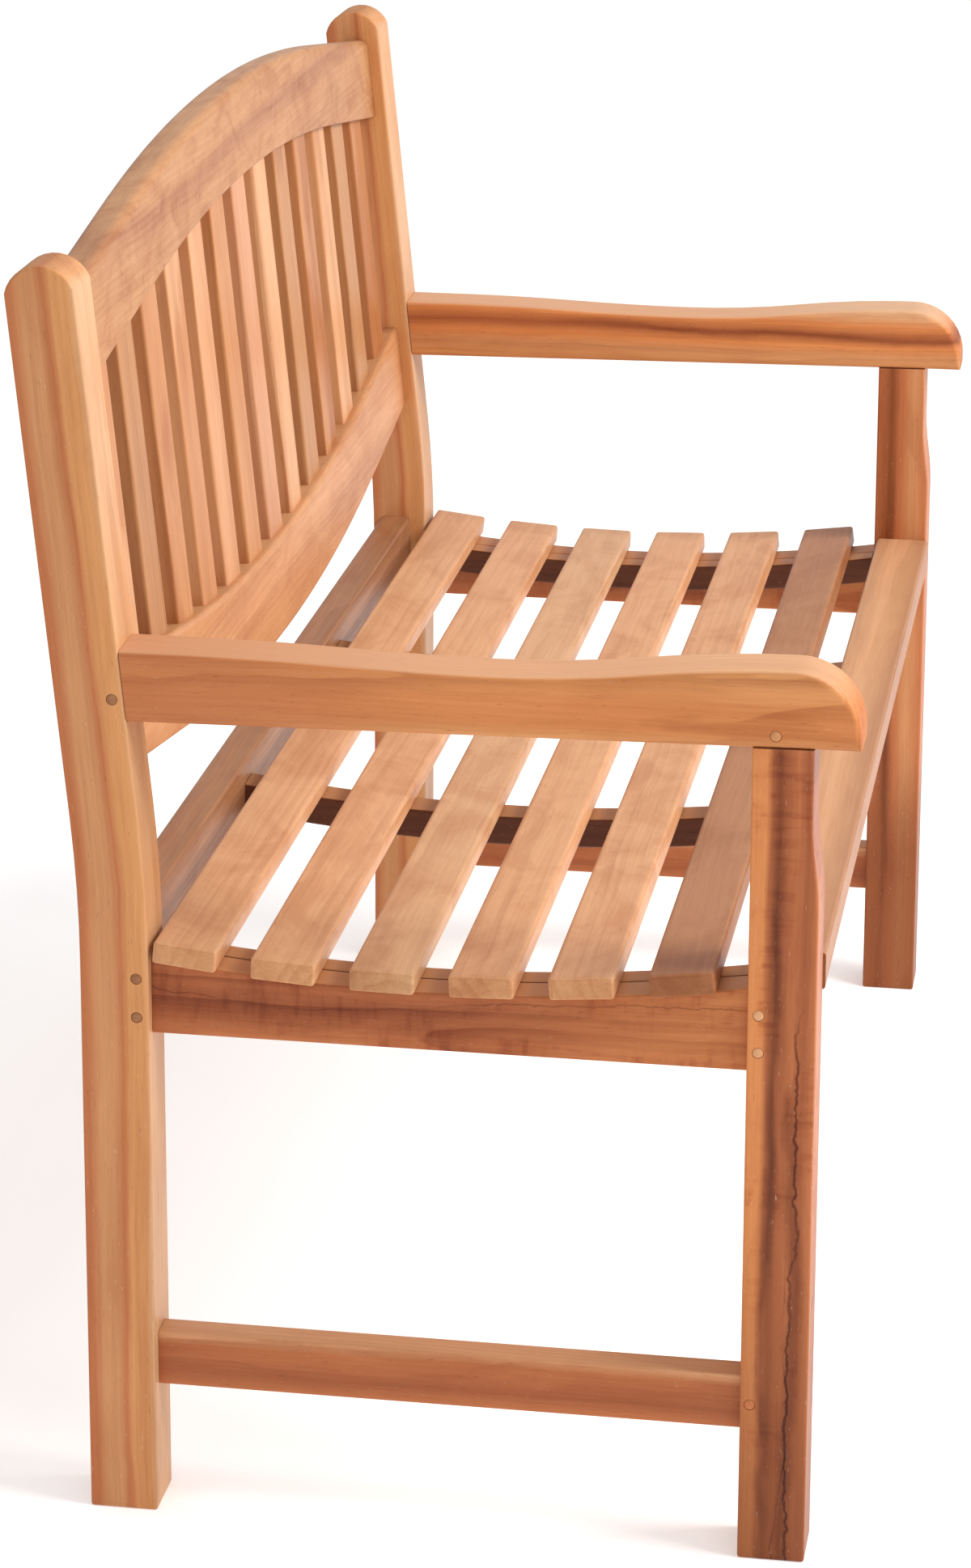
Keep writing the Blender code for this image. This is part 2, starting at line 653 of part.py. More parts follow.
mortises = [bearer_tenons(side) for _, side in SIDES]
cross_rail(
    "seat_rail_front",
    front_rail,
    (SEAT_TOP - FRONT_RAIL_HEIGHT, SEAT_TOP),
    front_rail_y,
    FRONT_TENON_Z,
    [m[0] for m in mortises],
    ORANGE,
)
cross_rail(
    "seat_rail_rear",
    rear_rail,
    (SEAT_TOP - REAR_RAIL_HEIGHT, SEAT_TOP),
    rear_rail_y,
    REAR_TENON_Z,
    [m[1] for m in mortises],
    GREY_BROWN,
    [merged([rear_peg_at(*seat_peg, *bored, side=s) for _, s in SIDES])],
)

# ---- seat slats, each flat and laid to the dish
half_slat = SLAT_WIDTH / 2
chord_rise = half_slat**2 / (2 * DISH_RADIUS)
for i in range(SLAT_COUNT):
    depth = SLAT_REAR_EDGE - half_slat - i * SLAT_PITCH
    board = blocks([((-HALF, -half_slat, 0.0), (HALF, half_slat, SLAT_THICK))])
    soften(board, EDGE_SLAT, lambda m, d: True, FINE_STEPS)
    slat = node(f"seat_slat_{i + 1}", board, TAN)
    slope = math.atan((depth - DISH_AT) / DISH_RADIUS)
    slat.location = (0, depth + Y_SHIFT, dish(depth) + chord_rise + GAP)
    slat.rotation_euler = (slope, 0, 0)

# ---- back: crest rail, lower rail and upright slats, all on the lean
reach = INNER - GAP
slat_y = around(REAR_LEG_DEPTH / 2, BACK_SLAT_THICK)
slats = []
for i in range(BACK_SLAT_COUNT):
    x = (i - (BACK_SLAT_COUNT - 1) / 2) * BACK_SLAT_PITCH
    low = LOWER_RAIL_TOP + sag(x) - BACK_SLAT_SUNK
    high = CREST_LOW - sag(x) + BACK_SLAT_SUNK
    left, right = around(x, BACK_SLAT_WIDTH)
    slats.append(((left, slat_y[0], low), (right, slat_y[1], high)))


def back_rail(name, low, height, sign, tenon_up, peg, top_edge, top_steps, colour):
    board = back_prism(arched(low, low + height, reach, sign), *around(REAR_LEG_DEPTH / 2, BACK_RAIL_THICK))
    soften(
        board,
        top_edge,
        lambda m, d: abs(d.x) > 0.5 and m.z > low + sign * sag(m.x) + height / 2,
        top_steps,
    )
    soften(board, EDGE_SOFT, lambda m, d: abs(d.x) > 0.5 and m.z < low + sign * sag(m.x) + height / 2)
    span = (reach - OVER, INNER + TENON_LENGTH - GAP)
    tenons = [xbox(side, *span, back_y, tenon_up) for _, side in SIDES]
    holes = merged([back_peg_at(*back_pegs[peg], *bored, side=s) for _, s in SIDES])
    node(
        name,
        board,
        colour,
        "back",
        joins=[(blocks(tenons), "back")],
        cuts=[(blocks([grown(s) for s in slats]), "back"), (holes, "back")],
    )


back_rail(
    "back_rail_crest",
    CREST_LOW,
    CREST_HEIGHT,
    -1,
    CREST_TENON_UP,
    "peg_back_crest",
    EDGE_CREST,
    CREST_STEPS,
    TAN,
)
back_rail(
    "back_rail_lower",
    LOWER_RAIL_LOW,
    LOWER_RAIL_HEIGHT,
    1,
    LOWER_TENON_UP,
    "peg_back_lower",
    EDGE_ARM,
    FINE_STEPS,
    ORANGE,
)

for i, (low, high) in enumerate(slats):
    board = soften(blocks([(low, high)]), EDGE_SOFT, lambda m, d: abs(d.z) > 0.5)
    node(f"back_slat_{i + 1:02d}", board, TAN if i % 3 else PALE, "back")
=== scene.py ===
# %% [markdown]
# # A teak garden bench, board by board
# The joined bench comes in as a fixed frame of solid parts, one for each piece of wood.
# This lesson gives every board its grain and colour, and builds the boards that repeat or
# follow a rule with Geometry Nodes: the seat slats, the back slats, the two curved back
# rails and the pegs. Sizes are in metres, +Z is up and the bench faces -Y.

import math

import bpy
from mathutils import Matrix, Vector


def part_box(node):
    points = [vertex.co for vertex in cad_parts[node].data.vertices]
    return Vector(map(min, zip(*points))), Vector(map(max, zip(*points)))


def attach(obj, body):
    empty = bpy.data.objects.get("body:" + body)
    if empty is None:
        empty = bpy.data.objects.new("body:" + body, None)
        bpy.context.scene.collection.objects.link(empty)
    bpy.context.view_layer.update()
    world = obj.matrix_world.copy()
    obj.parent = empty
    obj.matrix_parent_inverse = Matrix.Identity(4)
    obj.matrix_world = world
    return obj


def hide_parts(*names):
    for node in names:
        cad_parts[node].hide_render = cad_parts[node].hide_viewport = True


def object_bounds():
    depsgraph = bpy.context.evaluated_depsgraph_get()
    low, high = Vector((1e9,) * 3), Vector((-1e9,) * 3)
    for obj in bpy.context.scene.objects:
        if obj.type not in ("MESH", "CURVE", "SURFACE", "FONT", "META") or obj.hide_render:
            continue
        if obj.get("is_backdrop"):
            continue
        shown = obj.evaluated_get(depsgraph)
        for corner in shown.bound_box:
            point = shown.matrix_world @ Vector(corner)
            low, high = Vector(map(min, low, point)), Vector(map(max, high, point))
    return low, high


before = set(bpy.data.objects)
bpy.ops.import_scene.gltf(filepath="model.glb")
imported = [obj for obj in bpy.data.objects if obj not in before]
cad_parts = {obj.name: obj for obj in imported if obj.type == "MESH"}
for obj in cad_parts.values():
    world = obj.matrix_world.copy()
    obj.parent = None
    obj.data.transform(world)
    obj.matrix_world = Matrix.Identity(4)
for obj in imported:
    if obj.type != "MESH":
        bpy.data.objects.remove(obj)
cad_low, cad_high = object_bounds()
print("bench box", [round(v, 4) for v in (*cad_low, *cad_high)])

# %% [markdown]
# ## Wiring made readable
# A finish is a web of nodes. Two small classes keep it readable: `Tree` adds a node from its
# type, its settings and its sockets, and `Wire` stands for one output, so that sums are
# written as sums. The same two classes also wire the Geometry Nodes further down.


# %% The wiring classes
class Wire:
    """One output of a node, used in sums like a number."""

    def __init__(self, tree, node, out=0):
        self.tree, self.node, self.socket = tree, node, node.outputs[out]

    def out(self, name):
        return Wire(self.tree, self.node, name)

    def math(self, operation, *values):
        return self.tree.math(operation, self, *values)

    def __add__(self, other):
        return self.math("ADD", other)

    def __sub__(self, other):
        return self.math("SUBTRACT", other)

    def __rsub__(self, other):
        return self.tree.math("SUBTRACT", other, self)

    def __mul__(self, other):
        return self.math("MULTIPLY", other)

    def __truediv__(self, other):
        return self.math("DIVIDE", other)

    __radd__, __rmul__ = __add__, __mul__


class Tree:
    """A node tree, for a finish or for a shape."""

    def __init__(self, tree):
        self.tree = tree

    def add(self, kind, settings=(), sockets=(), out=0):
        """Adds one node: settings first, then a value or a link for each named socket."""
        node = self.tree.nodes.new(kind)
        for name, value in dict(settings).items():
            if name == "stops":
                self.set_stops(node.color_ramp, value)
            elif name == "interpolation":
                node.color_ramp.interpolation = value
            else:
                setattr(node, name, value)
        for name, value in dict(sockets).items():
            if isinstance(value, Wire):
                self.tree.links.new(value.socket, node.inputs[name])
            else:
                node.inputs[name].default_value = value
        return Wire(self, node, out) if node.outputs else None

    def set_stops(self, ramp, stops):
        while len(ramp.elements) < len(stops):
            ramp.elements.new(1.0)
        for element, (place, colour) in zip(ramp.elements, stops):
            element.position, element.color = place, (*colour, 1.0)

    def math(self, operation, *values):
        return self.add("ShaderNodeMath", {"operation": operation}, dict(enumerate(values)))

    def vector(self, operation, *values, **sockets):
        sockets = {name.title(): value for name, value in sockets.items()}
        sockets.update(enumerate(values))
        return self.add("ShaderNodeVectorMath", {"operation": operation}, sockets)

    def xyz(self, x=0.0, y=0.0, z=0.0):
        return self.add("ShaderNodeCombineXYZ", {}, {"X": x, "Y": y, "Z": z})

    def split(self, vector):
        parts = self.add("ShaderNodeSeparateXYZ", {}, {"Vector": vector})
        return parts.out("X"), parts.out("Y"), parts.out("Z")

    def rise(self, value, low, high):
        """0 below low and 1 above high, with a soft climb between."""
        return self.add(
            "ShaderNodeMapRange",
            {"interpolation_type": "SMOOTHSTEP"},
            {"Value": value, "From Min": low, "From Max": high},
        )

    def mix(self, first, second, share, mode="MIX"):
        """Colours blended; share 0 gives the first."""
        return self.add(
            "ShaderNodeMix",
            {"data_type": "RGBA", "blend_type": mode},
            {0: share, 6: first, 7: second},
            out=2,
        )

    def noise(self, place, scale=1.0, detail=2.0, rough=0.5, distortion=0.0):
        looks = {"Scale": scale, "Detail": detail, "Roughness": rough, "Distortion": distortion}
        return self.add("ShaderNodeTexNoise", {}, {"Vector": place, **looks})


def paint(red, green, blue):
    """A linear colour with its alpha."""
    return (red, green, blue, 1.0)


print("wiring ready")

# %% [markdown]
# ## Sawn teak
# A board is cut out of a log, so its grain is a slice through nested rings, and the pattern
# must be solid: a picture of grain would break at every edge. `Board` therefore turns Object
# coordinates into the board's own: along the grain, across the wide face and deep into it.
# The rear legs are bent, so their grain may be told to follow the bend.

# %% A board's own coordinates
AXES = {
    "X": (0.0, 0.0, 0.0),
    "Y": (0.0, 0.0, -math.pi / 2),
    "Z": (0.0, math.pi / 2, 0.0),
}
LEAN = math.radians(5.8)
GRAIN_WAVES = ((2.2, 0.016), (14.0, 0.0035))  # waves per metre and how far they push the grain
RING_WANDER = 0.016  # how far the rings stray from circles
RING_PACE, RING_UNEVEN = 45.0, 2.4  # how often, and how much, the years differ in width
LATE_START, LATE_END = 0.3, 0.94  # shares of a year between which the wood darkens
LOG_TAPER = 0.012
SEED_STEP = 3.71  # how far apart the numbered boards of one set lie in the log
END_FACES = (0.75, 0.95)  # how squarely a face must cut the grain to count as end grain
TOP_FACES = (0.55, 0.95)  # how far it must look up to get the painted top light


class Board:
    """The wood of one board, or of a numbered set, and what a log does in it."""

    def __init__(self, name, grain, middle, lean=0.0, bent=False, seed=0.0, numbered=False):
        self.material = bpy.data.materials.new(name)
        self.material.use_nodes = True
        self.tree = Tree(self.material.node_tree)
        self.shader = self.material.node_tree.nodes["Principled BSDF"]
        t = self.tree
        here = t.add("ShaderNodeTexCoord", {}, {}, out="Object")
        turn = (AXES[grain][0] + lean, *AXES[grain][1:])
        centred = t.vector("SUBTRACT", here, tuple(middle))
        straight = {"Vector": centred, "Rotation": turn}
        wood = t.add("ShaderNodeMapping", {"vector_type": "POINT"}, straight)
        self.along, self.across, self.deep = t.split(wood)
        if bent:
            self.across = self.across - self.along.math("MAXIMUM", 0.0) * math.tan(LEAN)
        self.seed = seed
        if numbered:
            self.number = t.add("ShaderNodeAttribute", {"attribute_name": "board"}, {}, out="Fac")
            self.seed = self.number * SEED_STEP + seed
        for pace, reach in GRAIN_WAVES:
            wave = t.split(self.noise(pace, pace * 3.0, shift=pace, out="Color", detail=2.0))
            self.across = self.across + (wave[0] - 0.5) * reach
            self.deep = self.deep + (wave[1] - 0.5) * reach
        normal = t.add("ShaderNodeTexCoord", {}, {}, out="Normal")
        turned = {"Vector": normal, "Rotation": turn}
        facing = t.add("ShaderNodeMapping", {"vector_type": "NORMAL"}, turned)
        self.end_grain = t.rise(t.split(facing)[0].math("ABSOLUTE"), *END_FACES)
        # faces that look up, where the painted top light goes
        self.upper = t.rise(t.split(normal)[2], *TOP_FACES)

    def noise(self, along, across=0.0, shift=0.0, out="Fac", **how):
        """Noise with its cycles per metre along and across the grain."""
        start = self.along * along + self.seed + shift
        spot = self.tree.xyz(start, self.across * across, self.deep * across)
        return self.tree.noise(spot, **how).out(out)

    def rings(self, pith, spacing):
        """0 in early wood, up to 1 on the dark late line of each year."""
        t = self.tree
        sway = self.noise(1.5, 7.0, shift=5.3, out="Color", detail=2.0, rough=0.45)
        sway_a, sway_b, _ = t.split(t.vector("SUBTRACT", sway, (0.5, 0.5, 0.5)))
        a = self.across + sway_a * RING_WANDER + pith[0]
        b = self.deep + sway_b * RING_WANDER + pith[1]
        radius = (a * a + b * b).math("SQRT") + self.along * LOG_TAPER
        uneven = t.noise(t.xyz(radius * RING_PACE + self.seed), detail=1.0).out("Fac") - 0.5
        year = (radius / spacing + uneven * RING_UNEVEN).math("FRACT")
        return t.rise(year, LATE_START, LATE_END) * (1.0 - t.rise(year, LATE_END, 1.0))

    def vein(self, face, offset, width, wander, jag, shift):
        """A mineral vein: 1 on a line that wanders down the board, 0 beyond its width."""
        course = (self.noise(2.6, shift=shift) - 0.5) * wander
        course = course + (self.noise(24.0, 20.0, shift=shift, detail=4.0, rough=0.7) - 0.5) * jag
        away = (getattr(self, face) + course - offset).math("ABSOLUTE")
        return 1.0 - self.tree.rise(away, 0.0, width)


print("grain follows", ", ".join(AXES))

# %% [markdown]
# ## Colour in layers
# On bare teak the eye reads, from broad to fine: bands of another tone where the heart of
# the log was near, clouds where the fibres tip towards the light, a faint line for each
# year, streaks of fibre, and the short open pores that catch the light. Each layer is one
# Mix node, so that any of them can be turned up for a board that shows it more.

# %% Tones of teak
GOLD = (0.58, 0.265, 0.11)
HONEY = (0.65, 0.295, 0.11)
SAPWOOD = (0.66, 0.38, 0.20)
AMBER = (0.66, 0.245, 0.078)
APRICOT = (0.60, 0.215, 0.068)
RUSSET = (0.50, 0.165, 0.059)
BRICK = (0.36, 0.104, 0.036)
CHESTNUT = (0.24, 0.066, 0.019)
# a dark tone standing for shade, painted on the battens and bearers
UMBER = (0.105, 0.030, 0.010)
TAN = (0.67, 0.335, 0.162)
ROSE = (0.62, 0.30, 0.155)
BUFF = (0.70, 0.37, 0.185)
CLAY = (0.40, 0.168, 0.070)
STRAW = (0.51, 0.245, 0.105)
DRAB = (0.36, 0.160, 0.072)
LATE_WOOD = paint(0.54, 0.37, 0.26)
CLOUD = paint(0.76, 0.61, 0.52)
OPEN_PORE = paint(0.86, 0.66, 0.46)
MINERAL = paint(0.30, 0.16, 0.09)
END_WOOD = paint(0.86, 0.80, 0.74)
PLAIN = paint(1.0, 1.0, 1.0)
# darkens the thin sides of the back slats as painted shade
INNER_WOOD = paint(0.80, 0.66, 0.54)
# a pale sheen, painted on faces that look up as light from above
BLEACHED = (0.70, 0.41, 0.24)
MM = 0.001
FACE_REACH = 0.05  # bands are placed up to this far from the middle of a face


def banded(board, face, bands, wobble):
    """Tones side by side across a face; bands are (millimetres from its middle, tone)."""
    sway = (board.noise(1.3, 3.0, shift=8.8, detail=2.0) - 0.5) * wobble
    share = (getattr(board, face) + sway + FACE_REACH) / (2 * FACE_REACH)
    stops = [(0.5 + mm * MM / (2 * FACE_REACH), tone) for mm, tone in bands]
    return board.tree.add("ShaderNodeValToRGB", {"stops": stops}, {"Fac": share})


def numbered(board, tones):
    """One tone for each numbered board."""
    stops = [(i / len(tones), tone) for i, tone in enumerate(tones)]
    steps = {"stops": stops, "interpolation": "CONSTANT"}
    share = (board.number + 0.5) / len(tones)
    return board.tree.add("ShaderNodeValToRGB", steps, {"Fac": share})


print("teak tones ready")

# %% [markdown]
# ## One finish for every board
# All the boards are the same timber, so they share one recipe, and each board only says how
# much of every layer it shows. A separate material drawn for each board would let each be
# tuned alone, but the bench would soon stop looking like one wood. Bare teak is nearly
# matt, so the gloss is low, and the bump follows the same fibres and pores as the colour.
# A vein is given as its offset, width, wander and jag in millimetres, then its strength,
# then the height along the board, in metres from its middle, above which it isn't seen.


# %% A teak finish
CYCLES = {  # cycles per metre, along and across the grain
    "patch": (2.0, 9.0),
    "streak": (1.1, 45.0),
    "fibre": (8.0, 380.0),
    "curl": (160.0, 30.0),
    "break": (9.0, 50.0),
    "open pore": (150.0, 1100.0),
    "dark pore": (110.0, 900.0),
}
FIBRE_DEPTH, FIBRE_LEVEL = 0.7, 0.42  # how dark the fibres are drawn, and where they start
DRIFT_SHARE = 0.8  # how fully a board drifts to another tone along its length
VEIN_FADE = (-0.05, 0.02)  # a vein dies out between these, measured from its top
SLAT_SIDE = (0.0050, 0.0062)  # from a thin slat's middle, where its side turns into its face
GRAIN_RELIEF, GRAIN_BUMP = 0.0006, 0.4
BARE_WOOD_IOR, GLOSS = 1.4, 0.3


def teak(
    name,
    tones,
    grain="X",
    middle=(0, 0, 0),
    lean=0.0,
    bent=False,
    seed=0.0,
    face="across",
    wobble=0.014,
    drift=None,
    pith=(0.02, 0.09),
    spacing=0.0065,
    rings=0.22,
    streaks=0.35,
    clouds=0.35,
    blotch=(6.0, 20.0),
    ripple=0.0,
    pores=0.22,
    # every board gets a little painted sheen on the faces that look up
    bleach=(BLEACHED, 0.25),
    inner=0.0,
    ends=END_WOOD,
    veins=(),
):
    """A finished board. tones is a list of (mm, tone) bands, or of tones by board number."""
    by_number = len(tones[0]) == 3
    board = Board(name, grain, middle, lean, bent, seed, by_number)
    t = board.tree
    colour = numbered(board, tones) if by_number else banded(board, face, tones, wobble)
    if drift:
        tone, start, end = drift
        colour = t.mix(colour, paint(*tone), t.rise(board.along, start, end) * DRIFT_SHARE)

    ring = board.rings(pith, spacing)
    patchy = t.rise(board.noise(*CYCLES["patch"], shift=4.1), 0.35, 0.65)
    broad = t.rise(board.noise(*CYCLES["streak"], shift=9.1, detail=2.0), 0.42, 0.72)
    fibre = board.noise(*CYCLES["fibre"], shift=1.7, detail=3.0, rough=0.65)
    shade = ring * (patchy * 0.7 + 0.3) * rings + broad * streaks * (patchy * 0.5 + 0.5)
    shade = shade + (fibre - FIBRE_LEVEL) * FIBRE_DEPTH
    colour = t.mix(colour, LATE_WOOD, shade.math("MAXIMUM", 0.0).math("MINIMUM", 1.0), "MULTIPLY")

    cloud = board.noise(*blotch, shift=3.9, detail=4.0, rough=0.62, distortion=1.2)
    colour = t.mix(colour, CLOUD, t.rise(cloud, 0.38, 0.72) * clouds, "MULTIPLY")
    if ripple:
        curl = board.noise(*CYCLES["curl"], shift=6.6, detail=2.0)
        curl = t.rise(curl, 0.45, 0.7) * t.rise(cloud, 0.45, 0.6)
        colour = t.mix(colour, CLOUD, curl * ripple, "MULTIPLY")
    for offset, width, wander, jag, strength, top in veins:
        line = board.vein(face, offset * MM, width * MM, wander * MM, jag * MM, shift=offset)
        broken = t.rise(board.noise(*CYCLES["break"], shift=offset + 2, detail=3.0), 0.32, 0.52)
        broken = broken * (1.0 - t.rise(board.along, *(top + fade for fade in VEIN_FADE)))
        colour = t.mix(colour, MINERAL, line * broken * strength, "MULTIPLY")
    # painted shade: a thin slat's sides, between its neighbours, are darkened
    if inner:
        inside = 1.0 - t.rise(board.across.math("ABSOLUTE"), *SLAT_SIDE)
        colour = t.mix(colour, INNER_WOOD, inside * inner, "MULTIPLY")
    fleck = t.rise(board.noise(*CYCLES["open pore"], shift=7.7), 0.68, 0.8)
    colour = t.mix(colour, OPEN_PORE, fleck * pores)
    dark_fleck = t.rise(board.noise(*CYCLES["dark pore"], shift=2.7), 0.66, 0.78)
    colour = t.mix(colour, LATE_WOOD, dark_fleck * 0.5, "MULTIPLY")
    # painted light: faces that look up are mixed towards a tone lit from above
    colour = t.mix(colour, paint(*bleach[0]), board.upper * bleach[1])
    colour = t.mix(colour, ends, board.end_grain, "MULTIPLY")

    surface = fibre * 0.7 + fleck * 0.5 - dark_fleck * 0.6 - ring * 0.2
    relief = {"Strength": GRAIN_BUMP, "Distance": GRAIN_RELIEF, "Height": surface}
    bump = t.add("ShaderNodeBump", {}, relief)
    rough = fibre * 0.16 + cloud * 0.08 + board.end_grain * 0.2 + 0.30
    for socket, wire in (("Base Color", colour), ("Roughness", rough), ("Normal", bump)):
        t.tree.links.new(wire.socket, board.shader.inputs[socket])
    board.shader.inputs["IOR"].default_value = BARE_WOOD_IOR
    board.shader.inputs["Specular IOR Level"].default_value = GLOSS
    return board.material


print("a teak finish has", teak.__code__.co_argcount, "settings")

# %% [markdown]
# ## Boards that keep their sawn shape
# Legs, armrests, side rails, stretchers and the seat frame already have their joints and
# edges, so they keep their meshes. New meshes over them could be finer, but they would have
# to repeat every mortise. Three small modifiers do enough: they weld the loose triangles
# for shading and round the light over the softened edges, while flat faces stay flat.


# %% Soft shading for the sawn boards
SHARP_ANGLE = math.radians(50)
WELD_GAP = 0.00002


def soft_shading(obj):
    weld = obj.modifiers.new("weld", "WELD")
    weld.merge_threshold = WELD_GAP
    rounds = bpy.data.node_groups.get("round_light") or round_light_tree()
    smooth = obj.modifiers.new("round_light", "NODES")
    smooth.node_group = rounds
    even = obj.modifiers.new("even_light", "WEIGHTED_NORMAL")
    even.keep_sharp = True


def round_light_tree():
    group = bpy.data.node_groups.new("round_light", "GeometryNodeTree")
    group.interface.new_socket("Mesh", in_out="INPUT", socket_type="NodeSocketGeometry")
    group.interface.new_socket("Mesh", in_out="OUTPUT", socket_type="NodeSocketGeometry")
    t = Tree(group)
    mesh = t.add("NodeGroupInput")
    angle = t.add("GeometryNodeInputMeshEdgeAngle", {}, {}, out="Unsigned Angle")
    sharp = t.add("FunctionNodeCompare", {"operation": "GREATER_THAN"}, {0: angle, 1: SHARP_ANGLE})
    smooth = {"Geometry": mesh, "Shade Smooth": True}
    faces = t.add("GeometryNodeSetShadeSmooth", {"domain": "FACE"}, smooth)
    edges = t.add(
        "GeometryNodeSetShadeSmooth",
        {"domain": "EDGE"},
        {"Geometry": faces, "Selection": sharp, "Shade Smooth": False},
    )
    t.add("NodeGroupOutput", {}, {0: edges})
    return group


def middle_of(node):
    low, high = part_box(node)
    return (low + high) / 2


def finish_node(node, tones, grain, seed, middle=None, **how):
    """Gives a sawn board its own teak."""
    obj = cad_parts[node]
    material = teak(f"teak_{node}", tones, grain, middle or middle_of(node), seed=seed, **how)
    obj.data.materials.clear()
    obj.data.materials.append(material)
    soft_shading(obj)
    print(node, "finished, grain along", grain)


# %% [markdown]
# ## Shapes from rules
# Slats, pegs and the curved back rails follow rules. A loop could copy a board modelled by
# hand; a Geometry Nodes tree takes a few more lines, but it keeps the sizes together as
# named inputs and works the edges and the curve out from them. `Shape` opens such a tree,
# and `grow` runs it once and keeps the result as a plain mesh. The heart of all of them is
# one rounded board: a cube whose points are pulled in by the edge radius and pushed out
# again along a sphere, which leaves flat faces, tight round edges and an extra ring of
# points beside each edge to hold the light.


# %% A tree with named inputs, and what runs it
class Shape(Tree):
    """A Geometry Nodes tree; each input keeps the value it is run with."""

    KINDS = {int: "NodeSocketInt", float: "NodeSocketFloat", tuple: "NodeSocketVector"}

    def __init__(self, name, **inputs):
        group = bpy.data.node_groups.new(name, "GeometryNodeTree")
        super().__init__(group)
        group.interface.new_socket("Points", in_out="INPUT", socket_type="NodeSocketGeometry")
        self.values = {}
        for label, value in inputs.items():
            kind = self.KINDS.get(type(value), "NodeSocketMaterial")
            socket = group.interface.new_socket(label, in_out="INPUT", socket_type=kind)
            self.values[socket.identifier] = value
        group.interface.new_socket("Mesh", in_out="OUTPUT", socket_type="NodeSocketGeometry")
        self.entry = self.add("NodeGroupInput")

    def given(self, *labels):
        return [self.entry.out(label) for label in labels]

    def close(self, mesh, material):
        """Smooth light, plain mesh, one finish: how every one of these trees ends."""
        smooth = self.add("GeometryNodeSetShadeSmooth", {"domain": "FACE"}, {"Geometry": mesh})
        plain = self.add("GeometryNodeRealizeInstances", {}, {"Geometry": smooth})
        done = self.add("GeometryNodeSetMaterial", {}, {"Geometry": plain, "Material": material})
        self.add("NodeGroupOutput", {}, {0: done})


def grow(name, shape, nodes, slot, points=((0.0, 0.0, 0.0),)):
    """Runs a tree over a few points and lets the result stand for the CAD nodes."""
    seedbed = bpy.data.meshes.new(name)
    seedbed.from_pydata(list(points), [], [])
    source = bpy.data.objects.new(name + "_source", seedbed)
    bpy.context.scene.collection.objects.link(source)
    run = source.modifiers.new("shape", "NODES")
    run.node_group = shape.tree
    for identifier, value in shape.values.items():
        run[identifier] = value
    ready = source.evaluated_get(bpy.context.evaluated_depsgraph_get())
    mesh = bpy.data.meshes.new_from_object(ready)
    bpy.data.objects.remove(source)
    mesh.name = name
    piece = bpy.data.objects.new(name, mesh)
    bpy.context.scene.collection.objects.link(piece)
    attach(piece, "root")
    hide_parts(*nodes)
    print(name, len(mesh.polygons), "faces for", len(nodes), "parts")
    return piece


print("inputs a tree may have:", ", ".join(kind.__name__ for kind in Shape.KINDS), "and material")

# %% [markdown]
# The cube has eight points along an edge. The outermost two on each side make the round,
# the third closes the flat face and the innermost holds the light on it.

# %% A rounded board
GRID = 8
FLAT = 3 / 7  # where the flat face ends, on a cube from -1 to 1
HOLD = 0.3  # points nearer the middle than this are the holding ring
HOLD_GAP = 0.001


def rounded_board(t, half, radius, steps=GRID, round_ends=True):
    """half is the board's half size as a vector wire; returns the mesh."""
    cube = t.add(
        "GeometryNodeMeshCube",
        {},
        {"Size": (2.0, 2.0, 2.0), "Vertices X": steps, "Vertices Y": GRID, "Vertices Z": GRID},
    )
    place = t.add("GeometryNodeInputPosition")
    reach = t.vector("ABSOLUTE", place)
    way = t.vector("SIGN", place)
    near = t.vector("MAXIMUM", t.vector("SUBTRACT", reach, (FLAT,) * 3), (0.0, 0.0, 0.0))
    if not round_ends:
        near = t.vector("MULTIPLY", near, (0.0, 1.0, 1.0))
    near = t.vector("DIVIDE", near, (1 - FLAT,) * 3)
    x, y, z = t.split(near)
    most = x.math("MAXIMUM", y.math("MAXIMUM", z))
    outward = t.vector("SCALE", t.vector("NORMALIZE", near), scale=most * radius)
    hold = t.xyz(*(part.math("LESS_THAN", HOLD) * HOLD_GAP for part in t.split(reach)))
    core = t.vector("SUBTRACT", t.vector("SUBTRACT", half, t.xyz(radius, radius, radius)), hold)
    spot = t.vector("MULTIPLY", way, t.vector("ADD", core, outward))
    if not round_ends:
        _, y, z = t.split(spot)
        spot = t.xyz(t.split(place)[0] * t.split(half)[0], y, z)
    return t.add("GeometryNodeSetPosition", {}, {"Geometry": cube, "Position": spot})


print("rounded board:", GRID, "points along an edge")

# %% [markdown]
# ## Seat slats
# Six boards lie across the dished rails, each tilted to the curve it lies on. The tree puts
# one rounded board on each point, turns it by the slope of the dish there and stamps it with
# its number, so that the finish can give every slat its own log and tone.

# %% Grow the seat slats
SEAT_SLATS = [f"seat_slat_{i}" for i in range(1, 7)]
SLAT_HALF = (0.6, 0.0235, 0.0085)
DISH_RADIUS = 1.5
DISH_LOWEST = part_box("front_leg_right")[0].y + 0.282


def stamped(t, points, board, turn=(0.0, 0.0, 0.0), scale=(1.0, 1.0, 1.0)):
    """One board on each point, turned, scaled and numbered."""
    turned = t.add("FunctionNodeEulerToRotation", {}, {"Euler": turn})
    boards = t.add(
        "GeometryNodeInstanceOnPoints",
        {},
        {"Points": points, "Instance": board, "Rotation": turned, "Scale": scale},
    )
    return t.add(
        "GeometryNodeStoreNamedAttribute",
        {"data_type": "FLOAT", "domain": "INSTANCE"},
        {"Geometry": boards, "Name": "board", "Value": t.add("GeometryNodeInputIndex")},
    )


